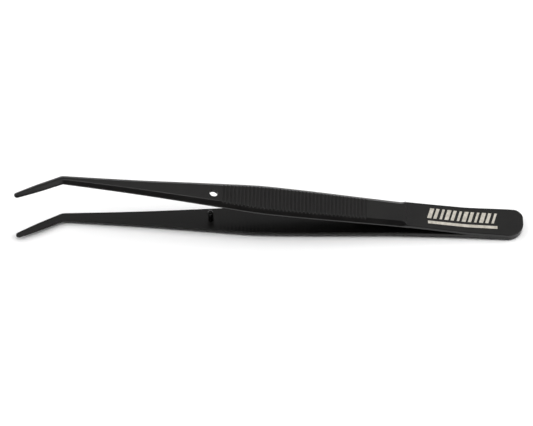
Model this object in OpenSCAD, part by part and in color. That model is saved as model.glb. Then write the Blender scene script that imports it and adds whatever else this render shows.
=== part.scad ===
// Pointed-nose gripping tweezers with a guide pin, lying on one arm.
// Two steel leaves are welded together at the tail, spring apart, carry a ribbed grip
// and end in slender tips that are bent to one side. Millimetres, +Z up, tips towards -X.

/* [Tail] */
// Length of the welded tail
tail_len = 16.5; // [12:0.5:24]
// Width of the rounded tail end
tail_w = 9.7; // [8:0.1:11.5]
// Radius of the tail's corner on the +Y side, smaller than on the other side
tail_corner_r = 3.1; // [2.5:0.1:4]
// Thickness of one leaf in the tail and the spring
leaf_t = 1.3; // [0.9:0.05:1.5]
// Diameter of a spot weld between the leaves
weld_d = 3; // [2:0.1:4]
// Depth that a spot weld reaches into each leaf
weld_depth = 0.4; // [0.2:0.05:0.6]
// Distance between the two spot welds
weld_pitch = 6; // [4.5:0.25:8]

/* [Spring leaves] */
// Length of the plain spring leaf, from the weld to the step
spring_len = 19.5; // [14:0.5:26]
// Width of a leaf where the weld ends
weld_w = 9.2; // [8:0.1:11]
// Length over which a leaf bends away from its twin
spread_len = 2.5; // [2:0.5:8]
// Angle of each arm away from the middle plane, in degrees
splay = 4.7; // [3:0.1:6]

/* [Grip] */
// Width at the step behind the grip
waist_w = 8.8; // [7.5:0.05:10.5]
// Width at the widest place of the grip
grip_w = 10; // [8.5:0.05:11.5]
// Thickness of the arm in the grip
grip_t = 1.75; // [1.3:0.05:2]
// Height of the arm's side edge in the grip
grip_edge = 0.75; // [0.5:0.05:1]
// Width of the bevel along each side of the grip
grip_bevel = 1.35; // [0.6:0.05:1.6]
// Length of the smooth pad between the step and the ribs
pad_len = 12.2; // [8:0.2:18]
// Number of ribs across the grip
rib_count = 39; // [20:1:50]
// Distance from one rib to the next
rib_pitch = 1.14; // [0.9:0.02:1.4]
// Depth of the groove between two ribs
rib_depth = 0.26; // [0.1:0.01:0.35]

/* [Guide] */
// Distance from the last rib to the guide hole
guide_gap = 2.55; // [2:0.05:6]
// Width of the arm at the guide hole
guide_w = 8.05; // [6:0.05:9]
// Diameter of the guide hole in the upper arm
guide_hole_d = 2.6; // [2.2:0.05:3.2]
// Diameter of the guide pin
pin_d = 1.65; // [1.2:0.05:1.9]
// Height of the guide pin above the lower arm
pin_h = 4.2; // [3:0.1:5]
// Diameter of the pin's shank, pressed into the lower arm
shank_d = 1.1; // [0.8:0.05:1.15]

/* [Tips] */
// Length of the slender nose, from the guide hole to the bend
nose_len = 45.2; // [32:0.1:60]
// Width of the nose halfway along
nose_w = 4.95; // [3.6:0.05:5.6]
// Width of the arm at the bend
bend_w = 2.75; // [2:0.05:3.2]
// Thickness of the arm at the bend
bend_t = 1.4; // [1:0.05:1.6]
// Angle of the bent tip, to one side, in degrees
bend_angle = 28; // [15:1:45]
// Radius of the bend along the middle of the arm
bend_r = 2.2; // [2:0.1:4]
// Length of the bent tip
tip_len = 15.5; // [11:0.1:22]
// Width of the tip halfway along
tip_mid_w = 2.5; // [2:0.05:3]
// Width of the tip's rounded end
tip_w = 1.65; // [1.2:0.05:2]
// Thickness of the tip at its end
tip_t = 0.85; // [0.6:0.05:1.1]
// Distance from the guide hole to where each arm leans in
lean_gap = 5.5; // [4:0.5:12]
// How much less each arm splays forward of there, in degrees
lean_in = 0.72; // [0.4:0.02:1.5]

/* [Hidden] */

$fn = 64;
steel_black = [0.14, 0.14, 0.15];
steel_bare = [0.55, 0.54, 0.52];
rib_stations = [0.2, 0.5, 0.8];     // crest edge, groove bottom, next crest edge, as parts of a pitch
station_gap = 2;                    // spacing of the sections along a plain stretch
widest_at = 0.68;                   // where the grip is widest, as a share of the ribbed length
bend_steps = 6;
nose_angles = [0, 15, 35, 50, 63, 74, 82];
edge_share = 0.52;                  // share of the thickness that a side edge takes at the bend and tip
bevel_share = 0.38;                 // share of the width that each bevel takes at the bend and tip
pin_chamfer = 0.55;
shank_short = 0.08;                 // how far the shank stops below the lower arm's outer face
through = 1;                        // how far a cutting tool runs past the wall it cuts

slope = tan(splay);
slope_drop = slope - tan(splay - lean_in);
rib_from = spring_len + pad_len;
rib_zone = rib_count * rib_pitch;
guide_at = rib_from + rib_zone + guide_gap;
lean_from = guide_at + lean_gap;
bend_at = guide_at + nose_len;
bend_tangent = bend_r * tan(bend_angle / 2);
arc_from = bend_at - bend_tangent;
arc_to = arc_from + bend_r * bend_angle * PI / 180;
tip_straight = tip_len - bend_tangent;
path_end = arc_to + tip_straight;
nose_from = path_end - tip_w / 2;
reach = bend_at + tip_len * cos(bend_angle);

// Width of the arm at the distances along it where the design sets it.
widths = [[0, weld_w], [spring_len, waist_w], [rib_from + rib_zone * widest_at, grip_w],
          [guide_at, guide_w], [guide_at + nose_len / 2, nose_w], [bend_at, bend_w],
          [(arc_to + path_end) / 2, tip_mid_w], [path_end, tip_w]];

// Straight interpolation, with the end values held.
function linear(table, s) = lookup(s, table);

// Slope of a table at its point i, from its neighbours.
function knot_slope(table, i) =
    let(a = table[max(i - 1, 0)], b = table[min(i + 1, len(table) - 1)])
    (b[1] - a[1]) / (b[0] - a[0]);

// Smooth curve through a table's points.
function smooth(table, s) =
    let(i = min(len(table) - 2, max([0, for (k = [0 : len(table) - 1]) if (s >= table[k][0]) k])),
        p = table[i],
        q = table[i + 1],
        h = q[0] - p[0],
        u = (s - p[0]) / h,
        m = knot_slope(table, i) * h,
        n = knot_slope(table, i + 1) * h)
    (1 + 2 * u) * (1 - u) * (1 - u) * p[1] + u * (1 - u) * (1 - u) * m
    + u * u * (3 - 2 * u) * q[1] - u * u * (1 - u) * n;

// Height of a leaf's inner face above the middle plane, at a distance forward of the weld.
function inner_z(s) =
    s <= 0 ? 0
    : (s < spread_len ? slope * s * s / (2 * spread_len) : slope * (s - spread_len / 2))
      - slope_drop * max(0, s - lean_from);

// Place and heading of the arm's centre line in plan, at a distance u along it.
function path(u) =
    let(turn = max(0, min(1, (u - arc_from) / (arc_to - arc_from))) * bend_angle,
        ahead = max(0, u - arc_to),
        x = min(u, arc_from) + bend_r * sin(turn) + ahead * cos(turn),
        y = bend_r * (1 - cos(turn)) + ahead * sin(turn))
    [-x, -y, turn];

// Full width of the arm at a distance u along it, with the rounded end of the tip.
function arm_width(u) =
    let(round_end = tip_w * tip_w / 4 - pow(max(0, u - nose_from), 2))
    u > nose_from ? 2 * sqrt(round_end) : smooth(widths, u);

function arm_thick(u) =
    linear([[guide_at, grip_t], [bend_at, bend_t], [path_end, tip_t]], u);

function arm_edge(u) =
    linear([[guide_at, grip_edge], [bend_at, bend_t * edge_share], [path_end, tip_t * edge_share]], u);

function arm_bevel(u) =
    min(linear([[guide_at, grip_bevel], [bend_at, bend_w * bevel_share], [path_end, tip_w * bevel_share]], u),
        arm_width(u) * bevel_share);

// Distances along the arm where it gets a section, each with its groove depth.
function stretch(from, to) =
    let(count = ceil((to - from) / station_gap))
    [for (i = [0 : count - 1]) [from + (to - from) * i / count, 0]];
rib_stations_at = [for (i = [0 : rib_count - 1]) for (part = rib_stations)
                   [rib_from + (i + part) * rib_pitch, part == rib_stations[1] ? rib_depth : 0]];
bend_stations = [for (i = [0 : bend_steps - 1]) [arc_from + (arc_to - arc_from) * i / bend_steps, 0]];
end_stations = [for (a = nose_angles) [nose_from + tip_w / 2 * sin(a), 0]];
stations = concat(stretch(spring_len, rib_from), rib_stations_at, stretch(rib_from + rib_zone, lean_from),
                  stretch(lean_from, arc_from), bend_stations, stretch(arc_to, nose_from), end_stations);

// One section of the upper arm: inner face, side edges, bevels and outer flat.
function arm_ring(u, groove) =
    let(at = path(u),
        half = arm_width(u) / 2,
        low = inner_z(-at[0]),
        edge = low + arm_edge(u),
        top = low + arm_thick(u) - groove,
        flat = half - arm_bevel(u) * (top - edge) / (low + arm_thick(u) - edge))
    [for (q = [[-half, low], [-half, edge], [-flat, top], [flat, top], [half, edge], [half, low]])
     [at[0] - sin(at[2]) * q[0], at[1] + cos(at[2]) * q[0], q[1]]];

// One section of the plain spring leaf.
function leaf_ring(s) =
    let(half = smooth(widths, s) / 2, low = inner_z(s))
    [[-s, -half, low], [-s, -half, low + leaf_t], [-s, half, low + leaf_t], [-s, half, low]];

arm_rings = [for (st = stations) arm_ring(st[0], st[1])];
leaf_count = ceil(spring_len);
leaf_rings = [for (i = [0 : leaf_count]) leaf_ring(spring_len * i / leaf_count)];

// The part lies on the bottom edge of its tail and on the lower arm's outer face: the steepest
// line from that edge to any point of the arm is the ground, and the middle of the whole is the origin.
rest_tilt = atan(max([for (ring = arm_rings) for (p = ring) (p[2] - leaf_t) / (tail_len - p[0])]));
function laid(p) = [p[0] * cos(rest_tilt) + p[2] * sin(rest_tilt), p[1]];
outline = concat([for (ring = arm_rings) for (p = ring) for (side = [-1, 1]) laid([p[0], p[1], side * p[2]])],
                 [for (side = [-1, 1]) laid([tail_len, side * tail_w / 2, leaf_t])]);
mid_x = (max([for (p = outline) p[0]]) + min([for (p = outline) p[0]])) / 2;
mid_y = (max([for (p = outline) p[1]]) + min([for (p = outline) p[1]])) / 2;
lift = tail_len * sin(rest_tilt) + leaf_t * cos(rest_tilt);

module at_rest() {
    translate([-mid_x, -mid_y, lift])
        rotate([0, rest_tilt, 0])
            children();
}

// The lower leaf is the mirror image of the upper one.
module lower() {
    mirror([0, 0, 1])
        children();
}

// Closed shell through rings that have the same number of points.
module skin(rings) {
    n = len(rings[0]);
    last = len(rings) - 1;
    sides = [for (i = [0 : last - 1]) for (k = [0 : n - 1])
             let(a = i * n + k, b = i * n + (k + 1) % n)
             each [[a, a + n, b + n], [a, b + n, b]]];
    first_cap = [for (k = [0 : n - 1]) k];
    last_cap = [for (k = [n - 1 : -1 : 0]) last * n + k];
    polyhedron(points = [for (ring = rings) each ring], faces = concat(sides, [first_cap, last_cap]));
}

// Two spot welds, each a disc centred on the middle plane.
module weld_discs() {
    for (side = [-1, 1])
        translate([tail_len / 2 + side * weld_pitch / 2, 0, -weld_depth])
            cylinder(d = weld_d, h = 2 * weld_depth);
}

module tail_leaf() {
    centre = tail_len - tail_w / 2;
    difference() {
        linear_extrude(leaf_t)
            union() {
                polygon([[0, -weld_w / 2], [centre, -tail_w / 2], [centre, tail_w / 2], [0, weld_w / 2]]);
                translate([centre, 0])
                    circle(d = tail_w);
                translate([centre, 0])
                    square([tail_w / 2, tail_w / 2 - tail_corner_r]);
                translate([centre, 0])
                    square([tail_w / 2 - tail_corner_r, tail_w / 2]);
                translate([tail_len - tail_corner_r, tail_w / 2 - tail_corner_r])
                    circle(r = tail_corner_r);
            }
        weld_discs();
    }
}

// Carries its children to the guide hole's axis, with the arm's inner face at Z = 0.
module at_guide() {
    translate([-guide_at, 0, inner_z(guide_at)])
        rotate([0, splay, 0])
            children();
}

module guide_pin_shape() {
    bottom = -grip_t + shank_short;
    rotate_extrude()
        polygon([[0, bottom], [shank_d / 2, bottom], [shank_d / 2, 0], [pin_d / 2, 0],
                 [pin_d / 2, pin_h - pin_chamfer], [pin_d / 2 - pin_chamfer, pin_h], [0, pin_h]]);
}

module upper_tail_leaf() {
    color(steel_black)
        at_rest()
            tail_leaf();
}

module lower_tail_leaf() {
    color(steel_black)
        at_rest()
            lower()
                tail_leaf();
}

module weld_nuggets() {
    color(steel_bare)
        at_rest()
            weld_discs();
}

module upper_spring_leaf() {
    color(steel_black)
        at_rest()
            skin(leaf_rings);
}

module lower_spring_leaf() {
    color(steel_black)
        at_rest()
            lower()
                skin(leaf_rings);
}

module upper_arm() {
    color(steel_black)
        at_rest()
            difference() {
                skin(arm_rings);
                at_guide()
                    translate([0, 0, -through])
                        cylinder(d = guide_hole_d, h = grip_t + 2 * through);
            }
}

module lower_arm() {
    color(steel_black)
        at_rest()
            lower()
                difference() {
                    skin(arm_rings);
                    at_guide()
                        translate([0, 0, -through])
                            cylinder(d = shank_d, h = grip_t + 2 * through);
                }
}

module guide_pin() {
    color(steel_black)
        at_rest()
            lower()
                at_guide()
                    mirror([0, 0, 1])
                        guide_pin_shape();
}

upper_tail_leaf();
lower_tail_leaf();
weld_nuggets();
upper_spring_leaf();
lower_spring_leaf();
upper_arm();
lower_arm();
guide_pin();
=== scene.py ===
"""Bent-nose tweezers with a guide pin: visual model and studio. Metres, row frame, +Z up, tips towards -X."""
import logging
import math
from dataclasses import dataclass, field
from enum import Enum
from typing import Any

import bmesh
import bpy
from mathutils import Matrix, Vector


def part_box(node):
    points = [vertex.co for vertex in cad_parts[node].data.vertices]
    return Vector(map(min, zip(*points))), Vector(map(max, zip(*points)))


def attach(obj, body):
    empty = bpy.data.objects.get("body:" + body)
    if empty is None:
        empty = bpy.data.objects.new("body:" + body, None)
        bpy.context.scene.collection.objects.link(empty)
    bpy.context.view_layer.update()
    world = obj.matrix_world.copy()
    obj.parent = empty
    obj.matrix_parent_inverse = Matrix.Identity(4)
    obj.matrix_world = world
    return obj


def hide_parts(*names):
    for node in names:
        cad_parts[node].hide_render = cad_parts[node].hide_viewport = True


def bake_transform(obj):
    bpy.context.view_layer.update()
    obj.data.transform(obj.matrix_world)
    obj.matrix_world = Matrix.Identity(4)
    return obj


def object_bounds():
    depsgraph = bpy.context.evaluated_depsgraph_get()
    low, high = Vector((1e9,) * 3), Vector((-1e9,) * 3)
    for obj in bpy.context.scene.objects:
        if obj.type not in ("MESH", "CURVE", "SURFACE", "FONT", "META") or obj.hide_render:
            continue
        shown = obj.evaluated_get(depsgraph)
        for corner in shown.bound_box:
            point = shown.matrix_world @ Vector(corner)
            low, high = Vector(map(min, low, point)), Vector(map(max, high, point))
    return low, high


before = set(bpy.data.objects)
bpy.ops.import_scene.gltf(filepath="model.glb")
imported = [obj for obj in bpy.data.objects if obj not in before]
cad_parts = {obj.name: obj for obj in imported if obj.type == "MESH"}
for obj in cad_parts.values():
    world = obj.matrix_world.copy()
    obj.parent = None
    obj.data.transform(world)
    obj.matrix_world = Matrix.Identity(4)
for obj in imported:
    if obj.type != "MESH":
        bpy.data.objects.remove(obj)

MM = 0.001
MERGE_DISTANCE = 0.0005 * MM        # points closer than this are one point
EVEN_SHADING_WEIGHT = 60            # how much the large faces rule the shading
TURNED_STEPS = 48
CUTTER_STEPS = 64
HATCH_SCALE = 3.2                   # a wave texture's bands are about this much closer than its scale
CAD_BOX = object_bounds()

log = logging.getLogger("tweezers")


class Side(Enum):
    """Which of the two leaves a piece belongs to, with the side of the middle plane that it lies on."""

    UPPER = 1
    LOWER = -1


class Body(Enum):
    """The bodies that the pieces ride on."""

    TAIL = "tail"
    UPPER_ARM = "upper_arm_body"
    LOWER_ARM = "lower_arm_body"


# ---------------------------------------------------------------- small tools


def smoothstep(t: float) -> float:
    """Return t eased from 0 to 1, held outside that range."""
    t = min(1.0, max(0.0, t))
    return t * t * (3 - 2 * t)


def linear(table: list[tuple[float, float]], at: float) -> float:
    """Interpolate straight between the points of a table.

    Args:
        table: pairs of place and value, in rising order of place.
        at: the place wanted.

    Returns:
        The value there, with the end values held.
    """
    if at <= table[0][0]:
        return table[0][1]
    for (a, low), (b, high) in zip(table, table[1:]):
        if at <= b:
            return low + (high - low) * (at - a) / (b - a)
    return table[-1][1]


def linear_rgba(code: str) -> tuple[float, float, float, float]:
    """Turn an sRGB hex colour such as "1a1b1d" into linear RGBA."""
    parts = [int(code[i : i + 2], 16) / 255 for i in (0, 2, 4)]
    red, green, blue = [c / 12.92 if c <= 0.04045 else ((c + 0.055) / 1.055) ** 2.4 for c in parts]
    return red, green, blue, 1.0


def node(tree: bpy.types.NodeTree, kind: str, values: dict[str, Any] | None = None,
         links: dict[str, bpy.types.NodeSocket] | None = None, **settings: Any) -> bpy.types.Node:
    """Add one shader node.

    Args:
        tree: the node tree that gets it.
        kind: the node's type name.
        values: input sockets' own values, by socket name.
        links: sockets of other nodes to link, by this node's input name.
        **settings: the node's own properties.

    Returns:
        The new node.
    """
    new = tree.nodes.new(kind)
    for name, value in settings.items():
        setattr(new, name, value)
    for name, value in (values or {}).items():
        new.inputs[name].default_value = value
    for name, source in (links or {}).items():
        tree.links.new(source, new.inputs[name])
    return new


def ramp(tree: bpy.types.NodeTree, source: bpy.types.NodeSocket,
         stops: list[tuple[float, tuple[float, float, float, float]]]) -> bpy.types.NodeSocket:
    """Add a colour ramp.

    Args:
        tree: the node tree that gets it.
        source: the socket that drives it.
        stops: pairs of position and linear colour, in rising order.

    Returns:
        The ramp's colour socket.
    """
    new = node(tree, "ShaderNodeValToRGB", links={"Fac": source})
    elements = new.color_ramp.elements
    while len(elements) < len(stops):
        elements.new(1.0)
    for element, (position, colour) in zip(elements, stops):
        element.position = position
        element.color = colour
    return new.outputs["Color"]


def grey(value: float) -> tuple[float, float, float, float]:
    """Return an opaque linear grey."""
    return value, value, value, 1.0


def new_object(name: str, mesh: bmesh.types.BMesh, smooth: bool = True) -> bpy.types.Object:
    """Turn a bmesh into an object in the scene.

    Args:
        name: the piece's name.
        mesh: the finished bmesh, which is freed.
        smooth: whether its faces are shaded smooth.

    Returns:
        The object, at the origin.
    """
    bmesh.ops.recalc_face_normals(mesh, faces=mesh.faces)
    data = bpy.data.meshes.new(name)
    mesh.to_mesh(data)
    mesh.free()
    data.polygons.foreach_set("use_smooth", [smooth] * len(data.polygons))
    made = bpy.data.objects.new(name, data)
    bpy.context.scene.collection.objects.link(made)
    return made


def turned(profile: list[tuple[float, float]], steps: int) -> bmesh.types.BMesh:
    """Spin a profile round the Z axis.

    Args:
        profile: pairs of radius and height, from the axis to the axis.
        steps: how many steps the full turn has.

    Returns:
        A closed turned solid.
    """
    mesh = bmesh.new()
    points = [mesh.verts.new((radius, 0.0, height)) for radius, height in profile]
    edges = [mesh.edges.new(pair) for pair in zip(points, points[1:])]
    bmesh.ops.spin(mesh, geom=points + edges, cent=(0, 0, 0), axis=(0, 0, 1), dvec=(0, 0, 0),
                   angle=math.tau, steps=steps, use_merge=True)
    bmesh.ops.remove_doubles(mesh, verts=mesh.verts, dist=MERGE_DISTANCE)
    return mesh


def rounded(corners: list[tuple[float, float]], radii: list[float], steps: int) -> list[tuple[float, float]]:
    """Round the inner corners of an open outline.

    Args:
        corners: the outline's points.
        radii: how far back along both sides each corner's rounding starts, 0 for a sharp point.
        steps: how many spans each rounding has.

    Returns:
        The outline with each rounded corner as a short curve.
    """
    made: list[tuple[float, float]] = []
    for i, (corner, radius) in enumerate(zip(corners, radii)):
        if radius <= 0:
            made.append(corner)
            continue
        here = Vector(corner)
        before, after = Vector(corners[i - 1]) - here, Vector(corners[i + 1]) - here
        start = here + before.normalized() * min(radius, before.length * 0.45)
        end = here + after.normalized() * min(radius, after.length * 0.45)
        for k in range(steps + 1):
            t = k / steps
            point = start * (1 - t) ** 2 + here * (2 * t * (1 - t)) + end * t**2
            made.append((point.x, point.y))
    return made


def take_away(piece: bpy.types.Object, cutter: bpy.types.Object) -> None:
    """Cut one object out of another for good, and delete the cutter.

    Args:
        piece: the object that is cut.
        cutter: a closed solid in its place.
    """
    cut = piece.modifiers.new("bore", "BOOLEAN")
    cut.operation = "DIFFERENCE"
    cut.solver = "EXACT"
    cut.object = cutter
    bpy.context.view_layer.update()
    shaped = bpy.data.meshes.new_from_object(piece.evaluated_get(bpy.context.evaluated_depsgraph_get()))
    old = piece.data
    piece.modifiers.clear()
    piece.data = shaped
    shaped.name = piece.name
    bpy.data.meshes.remove(old)
    bpy.data.objects.remove(cutter, do_unlink=True)


# ---------------------------------------------------------------- finishes


@dataclass(frozen=True)
class CoatedSteel:
    """Spring steel with a satin black electrophoretic coating, about 0.02 mm thick, as on salon tools."""

    name: str = "satin_black_coating"
    dark: str = "0d0c0c"
    light: str = "121110"
    roughness: tuple[float, float] = (0.3, 0.36)
    grain_mm: float = 0.45          # the real grain, about 0.1 mm, would be too fine to show
    smudge_mm: float = 7.0
    grain_share: float = 0.5        # how much the grain adds to the mottling
    mottle_range: tuple[float, float] = (0.55, 0.95)
    grain_height_mm: float = 0.004
    grain_strength: float = 0.35
    sheen_level: float = 0.28       # the coating's resin reflects less than glass does

    def build(self) -> bpy.types.Material:
        """Return the material: mottled black, fine-grained, with a slightly uneven gloss from handling."""
        material = bpy.data.materials.new(self.name)
        material.use_nodes = True
        tree = material.node_tree
        shader = tree.nodes["Principled BSDF"]
        place = node(tree, "ShaderNodeTexCoord").outputs["Object"]
        grain = node(tree, "ShaderNodeTexNoise",
                     {"Scale": 1 / (self.grain_mm * MM), "Detail": 3.0, "Roughness": 0.6}, {"Vector": place})
        smudge = node(tree, "ShaderNodeTexNoise",
                      {"Scale": 1 / (self.smudge_mm * MM), "Detail": 4.0, "Roughness": 0.55,
                       "Distortion": 0.6}, {"Vector": place})
        blend = node(tree, "ShaderNodeMath", {1: self.grain_share}, {0: grain.outputs["Fac"]},
                     operation="MULTIPLY")
        both = node(tree, "ShaderNodeMath", {2: 0.0}, {0: smudge.outputs["Fac"], 1: blend.outputs[0]},
                    operation="ADD")
        dark_at, light_at = self.mottle_range
        colour = ramp(tree, both.outputs[0],
                      [(dark_at, linear_rgba(self.dark)), (light_at, linear_rgba(self.light))])
        tree.links.new(colour, shader.inputs["Base Color"])
        low, high = self.roughness
        gloss = node(tree, "ShaderNodeMapRange",
                     {"From Min": 0.3, "From Max": 0.7, "To Min": low, "To Max": high},
                     {"Value": smudge.outputs["Fac"]})
        tree.links.new(gloss.outputs["Result"], shader.inputs["Roughness"])
        bump = node(tree, "ShaderNodeBump",
                    {"Strength": self.grain_strength, "Distance": self.grain_height_mm * MM},
                    {"Height": grain.outputs["Fac"]})
        tree.links.new(bump.outputs["Normal"], shader.inputs["Normal"])
        shader.inputs["Specular IOR Level"].default_value = self.sheen_level
        return material


@dataclass(frozen=True)
class TurnedCoatingPaintedShade:
    """The guide pin's finish: turned steel under the same black coating, painted darker than the leaves' as
    painted shade for the pin's place between the arms, with the tool's fine rings.
    """

    name: str = "turned_coating_with_painted_shade"
    # dark and light sit below the leaves' coating: painted shade for the pin standing in the gap under the
    # upper arm
    dark: str = "040404"
    light: str = "0b0b0a"
    ring_mm: float = 0.22
    ring_height_mm: float = 0.006
    ring_strength: float = 0.4
    mottle_mm: float = 0.6
    mottle_range: tuple[float, float] = (0.35, 0.7)
    roughness: tuple[float, float] = (0.26, 0.36)
    sheen_level: float = 0.22

    def build(self) -> bpy.types.Material:
        """Return the material: black, darker than the leaves as painted shade, a little glossier, ringed
        along the pin's length.
        """
        material = bpy.data.materials.new(self.name)
        material.use_nodes = True
        tree = material.node_tree
        shader = tree.nodes["Principled BSDF"]
        place = node(tree, "ShaderNodeTexCoord").outputs["Object"]
        rings = node(tree, "ShaderNodeTexWave",
                     {"Scale": 1 / (self.ring_mm * MM * HATCH_SCALE), "Distortion": 0.6, "Detail": 2.0},
                     {"Vector": place}, wave_type="BANDS", bands_direction="Z")
        mottle = node(tree, "ShaderNodeTexNoise", {"Scale": 1 / (self.mottle_mm * MM), "Detail": 3.0},
                      {"Vector": place})
        dark_at, light_at = self.mottle_range
        colour = ramp(tree, mottle.outputs["Fac"],
                      [(dark_at, linear_rgba(self.dark)), (light_at, linear_rgba(self.light))])
        tree.links.new(colour, shader.inputs["Base Color"])
        low, high = self.roughness
        gloss = node(tree, "ShaderNodeMapRange", {"To Min": low, "To Max": high},
                     {"Value": mottle.outputs["Fac"]})
        tree.links.new(gloss.outputs["Result"], shader.inputs["Roughness"])
        bump = node(tree, "ShaderNodeBump",
                    {"Strength": self.ring_strength, "Distance": self.ring_height_mm * MM},
                    {"Height": rings.outputs["Fac"]})
        tree.links.new(bump.outputs["Normal"], shader.inputs["Normal"])
        shader.inputs["Specular IOR Level"].default_value = self.sheen_level
        return material


@dataclass(frozen=True)
class EtchedSteel:
    """Bare spring steel laid open by laser marking: warm grey, matt, with the laser's fine hatching."""

    name: str = "laser_bared_steel"
    dark: str = "aaa59b"
    light: str = "d2cdc4"
    hatch_mm: float = 0.3           # the real hatching, about 0.05 mm, would be too fine to show
    hatch_height_mm: float = 0.004
    hatch_strength: float = 0.3
    mottle_mm: float = 0.9
    mottle_range: tuple[float, float] = (0.3, 0.72)
    roughness: tuple[float, float] = (0.5, 0.66)

    def build(self) -> bpy.types.Material:
        """Return the material: bare metal, mottled and hatched."""
        material = bpy.data.materials.new(self.name)
        material.use_nodes = True
        tree = material.node_tree
        shader = tree.nodes["Principled BSDF"]
        shader.inputs["Metallic"].default_value = 1.0
        place = node(tree, "ShaderNodeTexCoord").outputs["Object"]
        hatch = node(tree, "ShaderNodeTexWave",
                     {"Scale": 1 / (self.hatch_mm * MM * HATCH_SCALE), "Distortion": 0.4, "Detail": 2.0},
                     {"Vector": place}, wave_type="BANDS", bands_direction="DIAGONAL")
        mottle = node(tree, "ShaderNodeTexNoise",
                      {"Scale": 1 / (self.mottle_mm * MM), "Detail": 4.0, "Roughness": 0.6},
                      {"Vector": place})
        dark_at, light_at = self.mottle_range
        colour = ramp(tree, mottle.outputs["Fac"],
                      [(dark_at, linear_rgba(self.dark)), (light_at, linear_rgba(self.light))])
        tree.links.new(colour, shader.inputs["Base Color"])
        low, high = self.roughness
        gloss = node(tree, "ShaderNodeMapRange", {"To Min": low, "To Max": high},
                     {"Value": mottle.outputs["Fac"]})
        tree.links.new(gloss.outputs["Result"], shader.inputs["Roughness"])
        bump = node(tree, "ShaderNodeBump",
                    {"Strength": self.hatch_strength, "Distance": self.hatch_height_mm * MM},
                    {"Height": hatch.outputs["Fac"]})
        tree.links.new(bump.outputs["Normal"], shader.inputs["Normal"])
        return material


@dataclass(frozen=True)
class StudioCard:
    """Matt white card of the floor and the backdrop."""

    name: str = "white_card"
    tone: str = "fbfbfb"

    def build(self) -> bpy.types.Material:
        """Return the material: plain matt white."""
        material = bpy.data.materials.new(self.name)
        material.use_nodes = True
        shader = material.node_tree.nodes["Principled BSDF"]
        shader.inputs["Base Color"].default_value = linear_rgba(self.tone)
        shader.inputs["Roughness"].default_value = 0.9
        shader.inputs["Specular IOR Level"].default_value = 0.0
        return material


# ---------------------------------------------------------------- the leaves' shape


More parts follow.
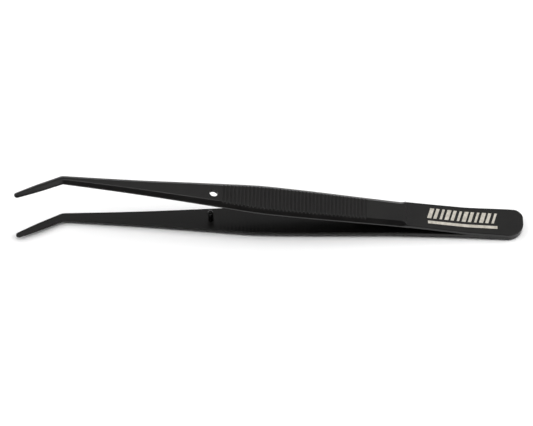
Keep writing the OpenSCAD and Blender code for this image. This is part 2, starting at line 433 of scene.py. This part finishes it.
@dataclass(frozen=True)
class LeafSizes:
    """Sizes of one stamped leaf, in metres and radians. Distances run forward from the front of the weld."""

    tail_length: float = 16.5 * MM
    tail_width: float = 9.7 * MM
    tail_corner: float = 3.1 * MM   # radius of the tail's corner on the +Y side
    leaf_thickness: float = 1.3 * MM
    spring_length: float = 19.5 * MM
    weld_width: float = 9.2 * MM
    spread_length: float = 2.5 * MM
    splay: float = math.radians(4.7)
    waist_width: float = 8.8 * MM
    grip_width: float = 10 * MM
    widest_share: float = 0.68
    grip_thickness: float = 1.75 * MM
    grip_edge: float = 0.75 * MM
    grip_bevel: float = 1.35 * MM
    pad_length: float = 12.2 * MM
    rib_count: int = 39
    rib_pitch: float = 1.14 * MM
    rib_depth: float = 0.26 * MM
    guide_gap: float = 2.55 * MM
    guide_width: float = 8.05 * MM
    nose_length: float = 45.2 * MM
    nose_width: float = 4.95 * MM
    bend_width: float = 2.75 * MM
    bend_thickness: float = 1.4 * MM
    bend_angle: float = math.radians(28)
    bend_radius: float = 2.2 * MM
    tip_length: float = 15.5 * MM
    tip_middle_width: float = 2.5 * MM
    tip_width: float = 1.65 * MM
    tip_thickness: float = 0.85 * MM
    lean_gap: float = 5.5 * MM
    lean_in: float = math.radians(0.72)
    lean_ease: float = 4 * MM       # half the length over which the lean comes in
    edge_share: float = 0.52
    bevel_share: float = 0.38
    slab_break: float = 0.14 * MM   # width of the broken edge along the plain leaf
    step_ease: float = 0.4 * MM     # length of the step between the plain leaf and the grip
    bevel_ease: float = 2.0 * MM    # length over which the bevels run out in front of the step
    hinge_at: float = 8.5 * MM      # where the hinge stands that the spring bends about
    crisp_corner: float = 0.08 * MM # how far back each long corner is rounded along the grip
    soft_corner: float = 0.24 * MM  # the same along the nose
    inner_corner: float = 0.3 * MM  # the same beside the inner face, forward of the weld
    inner_ease: float = 3 * MM      # length over which the inner corners come in
    nose_ease: float = 4 * MM       # length over which the soft corners come in

    @property
    def rib_from(self) -> float:
        """Where the ribs start."""
        return self.spring_length + self.pad_length

    @property
    def rib_zone(self) -> float:
        """Length of the ribbed stretch."""
        return self.rib_count * self.rib_pitch

    @property
    def guide_at(self) -> float:
        """Where the guide hole and the guide pin are."""
        return self.rib_from + self.rib_zone + self.guide_gap

    @property
    def bend_at(self) -> float:
        """Where the lines before and after the bend meet."""
        return self.guide_at + self.nose_length

    @property
    def arc_from(self) -> float:
        """Where the bend starts."""
        return self.bend_at - self.bend_radius * math.tan(self.bend_angle / 2)

    @property
    def arc_to(self) -> float:
        """Where the bend ends, measured along the leaf."""
        return self.arc_from + self.bend_radius * self.bend_angle

    @property
    def path_end(self) -> float:
        """Where the tip ends, measured along the leaf."""
        return self.arc_to + self.tip_length - self.bend_radius * math.tan(self.bend_angle / 2)

    @property
    def nose_from(self) -> float:
        """Where the tip's rounded end starts."""
        return self.path_end - self.tip_width / 2

    @property
    def tail_centre(self) -> float:
        """Centre of the tail's rounded end, behind the weld's front."""
        return -(self.tail_length - self.tail_width / 2)

    def width(self, at: float) -> float:
        """Return the leaf's full width at a distance along it."""
        if at <= 0:
            return linear([(self.tail_centre, self.tail_width), (0.0, self.weld_width)], at)
        table = [(0.0, self.weld_width), (self.spring_length, self.waist_width),
                 (self.rib_from + self.rib_zone * self.widest_share, self.grip_width),
                 (self.guide_at, self.guide_width), (self.guide_at + self.nose_length / 2, self.nose_width),
                 (self.bend_at, self.bend_width), ((self.arc_to + self.path_end) / 2, self.tip_middle_width),
                 (self.path_end, self.tip_width)]

        def slope(i: int) -> float:
            """Return the table's slope at its point i, from its neighbours."""
            (a, low), (b, high) = table[max(i - 1, 0)], table[min(i + 1, len(table) - 1)]
            return (high - low) / (b - a)

        i = max(k for k in range(len(table) - 1) if at >= table[k][0])
        (a, low), (b, high) = table[i], table[i + 1]
        span, t = b - a, (at - a) / (b - a)
        return ((1 + 2 * t) * (1 - t) ** 2 * low + t * (1 - t) ** 2 * slope(i) * span
                + t * t * (3 - 2 * t) * high - t * t * (1 - t) * slope(i + 1) * span)

    def grip_share(self, at: float) -> float:
        """Return 0 on the plain leaf and 1 on the arm, eased over the step."""
        return smoothstep((at - self.spring_length) / self.step_ease)

    def thickness(self, at: float) -> float:
        """Return the leaf's thickness at a distance along it."""
        arm = linear([(self.guide_at, self.grip_thickness), (self.bend_at, self.bend_thickness),
                      (self.path_end, self.tip_thickness)], at)
        return self.leaf_thickness + (arm - self.leaf_thickness) * self.grip_share(at)

    def edge(self, at: float) -> float:
        """Return the height of the side edge below the bevel."""
        arm = linear([(self.guide_at, self.grip_edge), (self.bend_at, self.bend_thickness * self.edge_share),
                      (self.path_end, self.tip_thickness * self.edge_share)], at)
        plain = self.thickness(at) - self.slab_break
        run_out = math.sqrt(max(0.0, min(1.0, (at - self.spring_length) / self.bevel_ease)))
        return plain + (arm - plain) * smoothstep(run_out)

    def bevel(self, at: float) -> float:
        """Return the width of the bevel along each side."""
        table = [(self.guide_at, self.grip_bevel), (self.bend_at, self.bend_width * self.bevel_share),
                 (self.path_end, self.tip_width * self.bevel_share)]
        arm = min(linear(table, at), self.width(at) * self.bevel_share)
        run_out = math.sqrt(max(0.0, min(1.0, (at - self.spring_length) / self.bevel_ease)))
        return self.slab_break + (arm - self.slab_break) * smoothstep(run_out)

    def inner_height(self, forward: float) -> float:
        """Return how far the inner face is from the middle plane, at a distance forward of the weld."""
        if forward <= 0:
            return 0.0
        rise = math.tan(self.splay)
        drop = rise - math.tan(self.splay - self.lean_in)
        height = (rise * forward**2 / (2 * self.spread_length) if forward < self.spread_length
                  else rise * (forward - self.spread_length / 2))
        past = forward - self.guide_at - self.lean_gap
        if past >= self.lean_ease:
            return height - drop * past
        if past > -self.lean_ease:
            return height - drop * (past + self.lean_ease) ** 2 / (4 * self.lean_ease)
        return height

    def path(self, at: float) -> tuple[float, float, float]:
        """Return the centre line's X, Y and turn at a distance along the leaf."""
        turn = min(1.0, max(0.0, (at - self.arc_from) / (self.arc_to - self.arc_from))) * self.bend_angle
        ahead = max(0.0, at - self.arc_to)
        forward = min(at, self.arc_from) + self.bend_radius * math.sin(turn) + ahead * math.cos(turn)
        aside = self.bend_radius * (1 - math.cos(turn)) + ahead * math.sin(turn)
        return -forward, -aside, turn

    def formed(self, flat: Vector) -> Vector:
        """Carry a point of the flat strip to its place on the formed upper leaf.

        Args:
            flat: distance along, distance across and height above the inner face.

        Returns:
            The point in the leaves' own frame, with the middle plane at Z = 0.
        """
        x, y, turn = self.path(flat.x)
        height = self.inner_height(-x) + flat.z
        return Vector((x - math.sin(turn) * flat.y, y + math.cos(turn) * flat.y, height))

    def resting_place(self) -> Matrix:
        """Return the matrix from the leaves' own frame to the row frame, read off the CAD's tail leaf."""
        low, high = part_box("upper_tail_leaf")
        diagonal = math.hypot(self.tail_length, self.leaf_thickness)
        tilt = math.asin((high.z - low.z) / diagonal) - math.atan2(self.leaf_thickness, self.tail_length)
        lift = low.z + self.tail_length * math.sin(tilt)
        ahead = high.x - self.tail_length * math.cos(tilt) - self.leaf_thickness * math.sin(tilt)
        return Matrix.Translation((ahead, (low.y + high.y) / 2, lift)) @ Matrix.Rotation(tilt, 4, "Y")

    def at_guide(self) -> Matrix:
        """Return the matrix that carries a turned piece to the guide hole's axis on the upper leaf."""
        place = Matrix.Translation((-self.guide_at, 0.0, self.inner_height(self.guide_at)))
        return place @ Matrix.Rotation(self.splay, 4, "Y")


@dataclass
class Leaf:
    """One leaf: a single strip from the rounded tail to the bent tip."""

    side: Side
    sizes: LeafSizes = field(default_factory=LeafSizes)
    hole_diameter: float = 2.6 * MM
    shank_diameter: float = 1.1 * MM
    rim: float = 0.11 * MM          # rounding of the hole's rim under the coating
    plain_gap: float = 1.0 * MM     # spacing of the sections where nothing changes
    corner_steps: int = 3
    end_steps: int = 28
    # Each rib's groove: pairs of place and depth, as shares of the pitch and of the groove's depth.
    rib_profile: tuple[tuple[float, float], ...] = (
        (0.0, 0.0), (0.2, 0.0), (0.28, 0.3), (0.37, 0.82), (0.46, 1.0),
        (0.54, 1.0), (0.63, 0.82), (0.72, 0.3), (0.8, 0.0))

    @property
    def name(self) -> str:
        """The piece's name."""
        return f"{self.side.name.lower()}_leaf"

    def half_section(self, at: float, groove: float) -> list[tuple[float, float]]:
        """Return half of the strip's section, from the middle of the inner face to that of the outer face."""
        s = self.sizes
        half, edge, bevel = s.width(at) / 2, s.edge(at), s.bevel(at)
        full = s.thickness(at)
        top = full - groove
        flat = half - bevel * (top - edge) / (full - edge)
        corners = [(0.0, 0.0), (half, 0.0), (half, edge), (flat, top), (0.0, top)]
        soft = smoothstep((at - s.rib_from - s.rib_zone) / s.nose_ease)
        soft *= 1 - 0.5 * smoothstep((at - s.guide_at) / s.nose_length)
        outer = s.crisp_corner + (s.soft_corner - s.crisp_corner) * soft
        inner = s.crisp_corner + (s.inner_corner - s.crisp_corner) * smoothstep(at / s.inner_ease)
        inner = min(inner, 0.5 * edge)
        return rounded(corners, [0.0, inner, outer, outer, 0.0], self.corner_steps)

    def stations(self) -> list[tuple[float, float]]:
        """Return the places along the strip that get a section, each with its groove depth."""
        s = self.sizes

        def stretch(start: float, end: float, gap: float) -> list[tuple[float, float]]:
            """Return evenly spaced plain stations, without the last."""
            count = math.ceil((end - start) / gap)
            return [(start + (end - start) * i / count, 0.0) for i in range(count)]

        ribs = [(s.rib_from + (i + part) * s.rib_pitch, depth * s.rib_depth)
                for i in range(s.rib_count) for part, depth in self.rib_profile]
        step_end = s.spring_length + s.step_ease
        return (stretch(s.tail_centre, s.spring_length, self.plain_gap)
                + stretch(s.spring_length, step_end, s.step_ease / 6)
                + stretch(step_end, s.spring_length + s.bevel_ease, s.bevel_ease / 12)
                + stretch(s.spring_length + s.bevel_ease, s.rib_from, self.plain_gap)
                + ribs
                + stretch(s.rib_from + s.rib_zone, s.arc_from, self.plain_gap)
                + stretch(s.arc_from, s.arc_to, (s.arc_to - s.arc_from) / 10)
                + stretch(s.arc_to, s.nose_from, self.plain_gap)
                + [(s.nose_from, 0.0)])

    def strip(self) -> bmesh.types.BMesh:
        """Return the flat strip: sections pulled out one after another, and both ends spun round."""
        stations = self.stations()
        right = self.half_section(*stations[0])
        half_count = len(right)
        count = 2 * half_count - 2
        mesh = bmesh.new()
        around = mesh.verts.layers.int.new("around")
        ring = bmesh.ops.create_circle(mesh, segments=count, radius=1.0)["verts"]
        for i, vert in enumerate(ring):
            vert[around] = i

        def place(verts: list[bmesh.types.BMVert], at: float, groove: float) -> None:
            """Put one ring's points on the section at a distance along the strip."""
            section = self.half_section(at, groove)
            section = section + [(-across, height) for across, height in reversed(section[1:-1])]
            for vert in verts:
                across, height = section[vert[around]]
                vert.co = (at, across, height)

        place(ring, *stations[0])
        first = list(ring)
        edges = [edge for edge in mesh.edges]
        for at, groove in stations[1:]:
            pulled = bmesh.ops.extrude_edge_only(mesh, edges=edges)["geom"]
            ring = [item for item in pulled if isinstance(item, bmesh.types.BMVert)]
            edges = [item for item in pulled if isinstance(item, bmesh.types.BMEdge)
                     and item.verts[0] in ring and item.verts[1] in ring]
            place(ring, at, groove)
        for verts, at, angle in ((first, stations[0][0], math.pi), (ring, stations[-1][0], -math.pi)):
            chain = [vert for vert in verts if vert[around] < half_count]
            seam = [edge for edge in mesh.edges if edge.verts[0] in chain and edge.verts[1] in chain]
            bmesh.ops.spin(mesh, geom=chain + seam, cent=(at, 0, 0), axis=(0, 0, 1), dvec=(0, 0, 0),
                           angle=angle, steps=self.end_steps)
        bmesh.ops.remove_doubles(mesh, verts=mesh.verts, dist=4 * MERGE_DISTANCE)
        self.square_corner(mesh, stations[0][0])
        return mesh

    def square_corner(self, mesh: bmesh.types.BMesh, start: float) -> None:
        """Fill out the tail's rounded end on the +Y side, where its corner is tighter.

        Args:
            mesh: the flat strip.
            start: where the rounded end begins.
        """
        half, corner = self.sizes.tail_width / 2, self.sizes.tail_corner
        touch = 0.01 * MM
        for vert in mesh.verts:
            behind, across = start - vert.co.x, vert.co.y
            if behind < touch or across < touch:
                continue
            angle, share = math.atan2(across, behind), math.hypot(behind, across) / half
            vert.co.x = start - share * (half - corner + corner * math.cos(angle))
            vert.co.y = share * (half - corner + corner * math.sin(angle))

    def bore(self) -> bpy.types.Object:
        """Return the cutter for the guide hole, or for the pin's shank on the lower leaf.

        Its ends flare, so that the hole it cuts has rounded rims.
        """
        depth = self.sizes.thickness(self.sizes.guide_at) * math.cos(self.sizes.splay)
        upper = self.side is Side.UPPER
        radius = (self.hole_diameter if upper else self.shank_diameter) / 2
        rim = self.rim if upper else self.rim / 3
        clear = 1.0 * MM
        turns = [math.radians(a) for a in (0, 22.5, 45, 67.5, 90)]
        low = [(radius + rim * (1 - math.sin(a)), rim * (1 - math.cos(a))) for a in turns]
        high = [(r, depth - z) for r, z in reversed(low)]
        profile = [(0.0, -clear), (radius + rim, -clear), *low, *high,
                   (radius + rim, depth + clear), (0.0, depth + clear)]
        cutter = new_object("bore_cutter", turned(profile, CUTTER_STEPS))
        cutter.data.transform(self.sizes.at_guide())
        return cutter

    def build(self) -> bpy.types.Object:
        """Return the finished leaf in the row frame."""
        mesh = self.strip()
        for vert in mesh.verts:
            vert.co = self.sizes.formed(vert.co)
        piece = new_object(self.name, mesh)
        take_away(piece, self.bore())
        if self.side is Side.LOWER:
            piece.data.transform(Matrix.Scale(-1, 4, (0, 0, 1)))
            piece.data.flip_normals()
        piece.data.transform(self.sizes.resting_place())
        even = piece.modifiers.new("even_shading", "WEIGHTED_NORMAL")
        even.weight = EVEN_SHADING_WEIGHT
        return piece

    def dress(self, piece: bpy.types.Object, coating: bpy.types.Material) -> None:
        """Coat the leaf, and let it stand for its CAD solids, which are hidden."""
        piece.data.materials.clear()
        piece.data.materials.append(coating)
        side = self.side.name.lower()
        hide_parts(f"{side}_tail_leaf", f"{side}_spring_leaf", f"{side}_arm")
        bend_with_spring(piece)


def bend_with_spring(piece: bpy.types.Object) -> None:
    """Bake a piece's place on a leaf into its mesh; nothing here makes it bend with the spring.

    Args:
        piece: the piece, in place.
    """
    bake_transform(piece)


@dataclass
class GuidePin:
    """The turned guide pin: a stem with a domed top, and a thinner shank pressed into the lower leaf."""

    sizes: LeafSizes = field(default_factory=LeafSizes)
    diameter: float = 1.65 * MM
    height: float = 4.2 * MM
    crown: float = 0.7 * MM
    shank_diameter: float = 1.1 * MM
    shank_short: float = 0.08 * MM
    foot: float = 0.08 * MM
    crown_steps: int = 8

    def build(self) -> bpy.types.Object:
        """Return the pin in the row frame, standing on the lower leaf's inner face."""
        radius, shank = self.diameter / 2, self.shank_diameter / 2
        bottom = -self.sizes.grip_thickness + self.shank_short
        outline = [(0.0, bottom), (shank, bottom), (shank, 0.0), (radius - self.foot, 0.0),
                   (radius, self.foot)]
        easing = [0.0, self.foot, 0.0, 0.0, 0.0]
        profile = rounded([*outline, (radius, self.height)], [*easing, 0.0], 3)[:-1]
        for step in range(self.crown_steps + 1):
            angle = math.pi / 2 * step / self.crown_steps
            profile.append((radius - self.crown + self.crown * math.cos(angle),
                            self.height - self.crown + self.crown * math.sin(angle)))
        profile.append((0.0, self.height))
        piece = new_object("guide_pin_turned", turned(profile, TURNED_STEPS))
        mirror = Matrix.Scale(-1, 4, (0, 0, 1))
        piece.data.transform(self.sizes.resting_place() @ mirror @ self.sizes.at_guide() @ mirror)
        piece.modifiers.new("even_shading", "WEIGHTED_NORMAL")
        return piece

    def dress(self, piece: bpy.types.Object, coating: bpy.types.Material) -> None:
        """Coat the pin and set it on the lower arm."""
        piece.data.materials.append(coating)
        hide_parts("guide_pin")
        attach(piece, Body.LOWER_ARM.value)


@dataclass
class EtchedDevice:
    """A generic device of plain slanted bars over a rule, bared by laser on the upper leaf near the tail."""

    sizes: LeafSizes = field(default_factory=LeafSizes)
    start: float = -8.4 * MM
    end: float = 13.0 * MM
    middle: float = 0.1 * MM        # how far the device lies to the +Y side of the leaf's middle
    bar_height: float = 3.7 * MM
    bars: int = 12
    bar_shares: tuple[float, ...] = (0.42, 0.56, 0.7)   # widths in turn, as shares of the pitch
    slant: float = 1.1 * MM
    rule_height: float = 1.0 * MM
    rule_gap: float = 0.9 * MM
    proud: float = 0.006 * MM
    depth: float = 0.02 * MM
    span: float = 0.8 * MM          # longest face, short enough to follow the curved strip

    def patch(self, mesh: bmesh.types.BMesh, start: float, end: float, low: float, high: float,
              slant: float) -> None:
        """Add one bar of the flat strip.

        Args:
            mesh: the bmesh that gets it.
            start: its rear end along the strip.
            end: its front end.
            low: its lower side across the strip.
            high: its upper side.
            slant: how far its upper side is shifted towards the tail.
        """
        spans = max(1, math.ceil((end - start) / self.span))
        grid = bmesh.ops.create_grid(mesh, x_segments=spans, y_segments=2, size=0.5)["verts"]
        for vert in grid:
            across = vert.co.y + 0.5
            vert.co = (start + (end - start) * (vert.co.x + 0.5) - slant * (across - 0.5),
                       low + (high - low) * across, self.sizes.leaf_thickness + self.proud)

    def build(self) -> bpy.types.Object:
        """Return all bars as one piece in the row frame."""
        mesh = bmesh.new()
        total = self.bar_height + self.rule_gap + self.rule_height
        rule_low = self.middle - total / 2
        bar_low = rule_low + self.rule_height + self.rule_gap
        pitch = (self.end - self.start) / self.bars
        for i in range(self.bars):
            width = pitch * self.bar_shares[i % len(self.bar_shares)]
            centre = self.start + (i + 0.5) * pitch
            self.patch(mesh, centre - width / 2, centre + width / 2, bar_low, bar_low + self.bar_height,
                       self.slant)
        self.patch(mesh, self.start, self.end, rule_low, rule_low + self.rule_height, 0.0)
        raised = bmesh.ops.extrude_face_region(mesh, geom=list(mesh.faces))["geom"]
        for item in raised:
            if isinstance(item, bmesh.types.BMVert):
                item.co.z -= self.depth
        for vert in mesh.verts:
            vert.co = self.sizes.formed(vert.co)
        piece = new_object("etched_device", mesh, smooth=False)
        piece.data.transform(self.sizes.resting_place())
        return piece

    def dress(self, piece: bpy.types.Object, metal: bpy.types.Material) -> None:
        """Give the device its bare metal."""
        piece.data.materials.append(metal)
        bend_with_spring(piece)


@dataclass
class SpotWelds:
    """The two welds between the leaves; the CAD's own discs are right and stay."""

    def dress(self, metal: bpy.types.Material) -> None:
        """Give the CAD's welds their bare metal."""
        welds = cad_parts["weld_nuggets"]
        for material_slot in welds.material_slots:
            material_slot.material = metal


# ---------------------------------------------------------------- studio


@dataclass
class Studio:
    """White card floor and backdrop, two side softboxes, and a light tent that is dark in front."""

    elevation: float = math.radians(56)
    azimuth: float = math.radians(-1.195)
    target: tuple[float, float, float] = (-1.162 * MM, 1.797 * MM, 5.0 * MM)
    distance: float = 640.518 * MM
    lens: float = 141.84
    sensor: float = 36.0
    floor_drop: float = 0.02 * MM
    floor_size: float = 8.0
    left_power: float = 6.5
    right_power: float = 10.5
    softbox_size: float = 0.9
    softbox_reach: float = 0.95
    top_power: float = 5.0
    top_size: float = 0.3
    top_height: float = 1.3
    backdrop_rise: float = 3.0
    backdrop_curve: float = 0.8
    curve_steps: int = 12
    # The tent's brightness from front to back: 0 is level towards the viewer, 1 level behind.
    tent: tuple[tuple[float, float], ...] = ((0.12, 0.05), (0.3, 0.06), (0.6, 0.45), (0.78, 0.88), (1.0, 1.0))

    def build_floor(self, card: bpy.types.Material) -> None:
        """Lay the floor and raise the backdrop behind it in one curved sweep."""
        mesh = bmesh.new()
        half, rise, curve = self.floor_size / 2, self.backdrop_rise, self.backdrop_curve
        profile = [(-half, 0.0)]
        for step in range(self.curve_steps + 1):
            angle = math.pi / 2 * step / self.curve_steps
            profile.append((half - curve + curve * math.sin(angle), curve - curve * math.cos(angle)))
        profile.append((half, rise))
        points = [mesh.verts.new((-half, y, z)) for y, z in profile]
        edges = [mesh.edges.new(pair) for pair in zip(points, points[1:])]
        swept = bmesh.ops.extrude_edge_only(mesh, edges=edges)["geom"]
        for item in swept:
            if isinstance(item, bmesh.types.BMVert):
                item.co.x += 2 * half
        floor = new_object("studio_sweep", mesh)
        floor.data.transform(Matrix.Translation((0, 0, CAD_BOX[0][2] - self.floor_drop)))
        floor.data.materials.append(card)

    def add_light(self, name: str, place: Vector, size: float, power: float) -> None:
        """Add one square softbox that faces the tweezers.

        Args:
            name: the light's name.
            place: where it hangs.
            size: the side of its square.
            power: its power in watts.
        """
        lamp = bpy.data.lights.new(name, "AREA")
        lamp.shape = "SQUARE"
        lamp.size = size
        lamp.energy = power
        hung = bpy.data.objects.new(name, lamp)
        hung.matrix_world = Matrix.Translation(place) @ place.to_track_quat("Z", "Y").to_matrix().to_4x4()
        bpy.context.scene.collection.objects.link(hung)

    def build_lights(self) -> None:
        """Hang the softboxes and set the light tent."""
        reach = self.softbox_reach
        self.add_light("softbox_left", Vector((-reach, 0.0, reach)), self.softbox_size, self.left_power)
        self.add_light("softbox_right", Vector((reach, 0.0, reach)), self.softbox_size, self.right_power)
        self.add_light("softbox_top", Vector((0.0, 0.0, self.top_height)), self.top_size, self.top_power)
        world = bpy.data.worlds.new("light_tent")
        bpy.context.scene.world = world
        world.use_nodes = True
        tree = world.node_tree
        sky = node(tree, "ShaderNodeTexCoord").outputs["Generated"]
        way = node(tree, "ShaderNodeSeparateXYZ", links={"Vector": sky})
        share = node(tree, "ShaderNodeMapRange", {"From Min": -1.0, "From Max": 1.0},
                     {"Value": way.outputs["Y"]})
        tone = ramp(tree, share.outputs["Result"], [(place, grey(value)) for place, value in self.tent])
        tree.links.new(tone, tree.nodes["Background"].inputs["Color"])

    def build_camera(self) -> None:
        """Set the camera, and the plain view transform that keeps the white card white."""
        lens = bpy.data.cameras.new("camera")
        lens.lens = self.lens
        lens.sensor_width = self.sensor
        lens.sensor_fit = "HORIZONTAL"
        lens.clip_start, lens.clip_end = 0.01, 50.0
        level = math.cos(self.elevation)
        ahead = Vector((math.sin(self.azimuth) * level, math.cos(self.azimuth) * level,
                        -math.sin(self.elevation)))
        camera = bpy.data.objects.new("camera", lens)
        camera.matrix_world = (Matrix.Translation(Vector(self.target) - ahead * self.distance)
                               @ (-ahead).to_track_quat("Z", "Y").to_matrix().to_4x4())
        bpy.context.scene.collection.objects.link(camera)
        bpy.context.scene.camera = camera
        bpy.context.scene.view_settings.view_transform = "Standard"


def main() -> None:
    """Build every piece in order, dress it, and set the studio round it."""
    logging.basicConfig(level=logging.INFO, format="%(name)s: %(message)s")
    coating = CoatedSteel().build()
    pin_coating_painted_shade = TurnedCoatingPaintedShade().build()
    bared = EtchedSteel().build()

    studio = Studio()
    studio.build_camera()
    studio.build_lights()
    studio.build_floor(StudioCard().build())

    for side in Side:
        leaf = Leaf(side)
        piece = leaf.build()
        leaf.dress(piece, coating)
        log.info("%s: %d faces", piece.name, len(piece.data.polygons))

    pin = GuidePin()
    piece = pin.build()
    pin.dress(piece, pin_coating_painted_shade)
    log.info("%s: %d faces", piece.name, len(piece.data.polygons))

    device = EtchedDevice()
    piece = device.build()
    device.dress(piece, bared)
    log.info("%s: %d faces", piece.name, len(piece.data.polygons))

    SpotWelds().dress(bared)
    log.info("weld_nuggets: the CAD's own discs")


if __name__ == "__main__":
    main()
